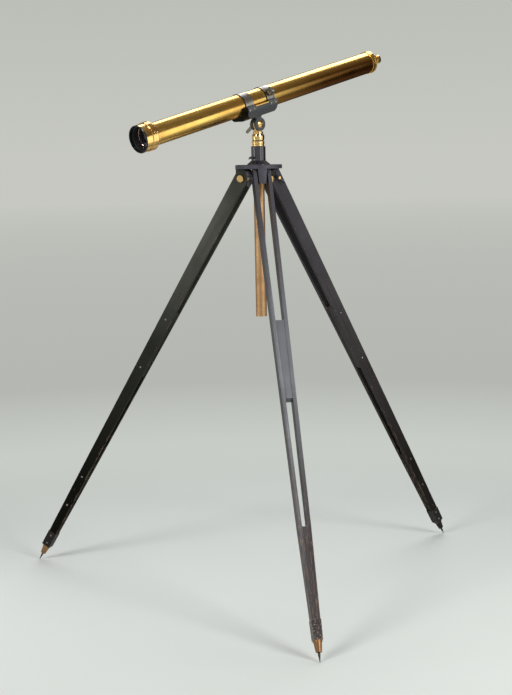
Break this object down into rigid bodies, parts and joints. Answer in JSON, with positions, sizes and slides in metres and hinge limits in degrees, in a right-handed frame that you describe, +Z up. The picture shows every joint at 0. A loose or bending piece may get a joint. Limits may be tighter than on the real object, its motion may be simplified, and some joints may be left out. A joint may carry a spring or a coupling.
{
  "type": "refracting telescope on tripod",
  "caption": "Brass refracting telescope in a tilting, turning cradle on a black wooden tripod with folding legs and a sliding centre pillar.",
  "frame": {"origin": "on the floor, at the middle of the three feet's bounding box", "axes": "+Z up; the front leg points along -Y; the eyepiece end points towards +X and +Y, the objective towards -X and -Y"},
  "size_m": [1.5888, 1.3782, 1.872],
  "materials": {
    "polished_brass": "polished, lacquer worn in places",
    "dull_brass": "dull, browned",
    "hardware_brass": "bright, handled",
    "ferrule_brass": "coppery, tarnished",
    "black_wood": "black paint, worn at the edges",
    "black_iron": "black, satin",
    "black_metal": "black, matt",
    "cradle_paint": "dark grey, satin",
    "nickel": "nickel-plated, satin",
    "spike_iron": "dark iron",
    "steel": "dull steel",
    "lens": "clear, coated by reflection only"
  },
  "bodies": {
    "head": {"tripod_head": "black_iron", "socket": "black_iron", "flange_screws": "steel", "leg_bolts": "hardware_brass"},
    "pillar_clamp": {"pillar_clamp_screw": "black_iron"},
    "pillar": {"pillar_tube": "dull_brass", "pillar_collar": "polished_brass", "pillar_cap": "dull_brass", "spindle": "steel", "thrust_washer": "black_iron"},
    "azimuth": {"azimuth_head": "polished_brass", "azimuth_keeper": "steel"},
    "telescope": {"cradle": "cradle_paint", "cradle_liner": "polished_brass", "strap_front": "nickel", "strap_rear": "nickel", "strap_screws": "nickel", "pivot_bolt": "hardware_brass", "main_tube": "polished_brass", "objective_cell": "polished_brass", "front_ring": "black_metal", "crown_lens": "lens", "flint_lens": "lens", "tube_baffles": "black_metal", "tail_cap": "polished_brass", "draw_sleeve": "polished_brass"},
    "tilt_clamp": {"tilt_wing_nut": "nickel"},
    "strap_clamp": {"strap_thumbscrew": "nickel"},
    "eyepiece": {"draw_tube": "polished_brass", "eyepiece_body": "polished_brass", "field_lens": "lens", "eye_lens": "lens", "eye_cap": "black_metal"},
    "front_leg": {"front_leg_left_rail": "black_wood", "front_leg_right_rail": "black_wood", "front_leg_mid_block": "black_wood", "front_leg_foot_block": "black_wood", "front_leg_shoe": "black_iron", "front_leg_ferrule": "ferrule_brass", "front_leg_spike": "spike_iron", "front_leg_screws": "steel"},
    "front_nut": {"front_wing_nut": "black_iron"},
    "right_leg": {"right_leg_left_rail": "black_wood", "right_leg_right_rail": "black_wood", "right_leg_mid_block": "black_wood", "right_leg_foot_block": "black_wood", "right_leg_shoe": "black_iron", "right_leg_ferrule": "ferrule_brass", "right_leg_spike": "spike_iron", "right_leg_screws": "steel"},
    "right_nut": {"right_wing_nut": "black_iron"},
    "left_leg": {"left_leg_left_rail": "black_wood", "left_leg_right_rail": "black_wood", "left_leg_mid_block": "black_wood", "left_leg_foot_block": "black_wood", "left_leg_shoe": "black_iron", "left_leg_ferrule": "ferrule_brass", "left_leg_spike": "spike_iron", "left_leg_screws": "steel"},
    "left_nut": {"left_wing_nut": "black_iron"}
  },
  "joints": [
    {"name": "pillar_lift", "type": "slide", "parent": "head", "child": "pillar", "axis": [0, 0, 1], "range_m": [0, 0.4]},
    {"name": "pillar_clamp_turn", "type": "hinge", "parent": "head", "child": "pillar_clamp", "pos_m": [-0.02048, 0.21465, 1.49362], "axis": [-0.8192, -0.5736, 0], "continuous": true},
    {"name": "azimuth_swivel", "type": "hinge", "parent": "pillar", "child": "azimuth", "pos_m": [0, 0.22899, 1.55302], "axis": [0, 0, 1], "continuous": true},
    {"name": "tilt", "type": "hinge", "parent": "azimuth", "child": "telescope", "pos_m": [0, 0.22899, 1.60792], "axis": [-0.5417, 0.8406, 0], "range_deg": [-16, 74]},
    {"name": "tilt_nut_turn", "type": "hinge", "parent": "telescope", "child": "tilt_clamp", "pos_m": [0, 0.22899, 1.60792], "axis": [-0.5417, 0.8406, 0], "continuous": true},
    {"name": "strap_screw_turn", "type": "hinge", "parent": "telescope", "child": "strap_clamp", "pos_m": [0.02241, 0.24343, 1.69822], "axis": [0.4038, -0.818, 0.4097], "continuous": true},
    {"name": "focus", "type": "slide", "parent": "telescope", "child": "eyepiece", "axis": [0.8149, 0.5252, 0.2453], "range_m": [0, 0.08]},
    {"name": "front_leg_fold", "type": "hinge", "parent": "head", "child": "front_leg", "pos_m": [0, 0.17399, 1.42282], "axis": [1, 0, 0], "range_deg": [0, 31]},
    {"name": "front_nut_turn", "type": "hinge", "parent": "head", "child": "front_nut", "pos_m": [0, 0.17399, 1.42282], "axis": [1, 0, 0], "continuous": true},
    {"name": "right_leg_fold", "type": "hinge", "parent": "head", "child": "right_leg", "pos_m": [0.04763, 0.25649, 1.42282], "axis": [-0.5, 0.866, 0], "range_deg": [0, 31]},
    {"name": "right_nut_turn", "type": "hinge", "parent": "head", "child": "right_nut", "pos_m": [0.04763, 0.25649, 1.42282], "axis": [-0.5, 0.866, 0], "continuous": true},
    {"name": "left_leg_fold", "type": "hinge", "parent": "head", "child": "left_leg", "pos_m": [-0.04763, 0.25649, 1.42282], "axis": [-0.5, -0.866, 0], "range_deg": [0, 31]},
    {"name": "left_nut_turn", "type": "hinge", "parent": "head", "child": "left_nut", "pos_m": [-0.04763, 0.25649, 1.42282], "axis": [-0.5, -0.866, 0], "continuous": true}
  ]
}
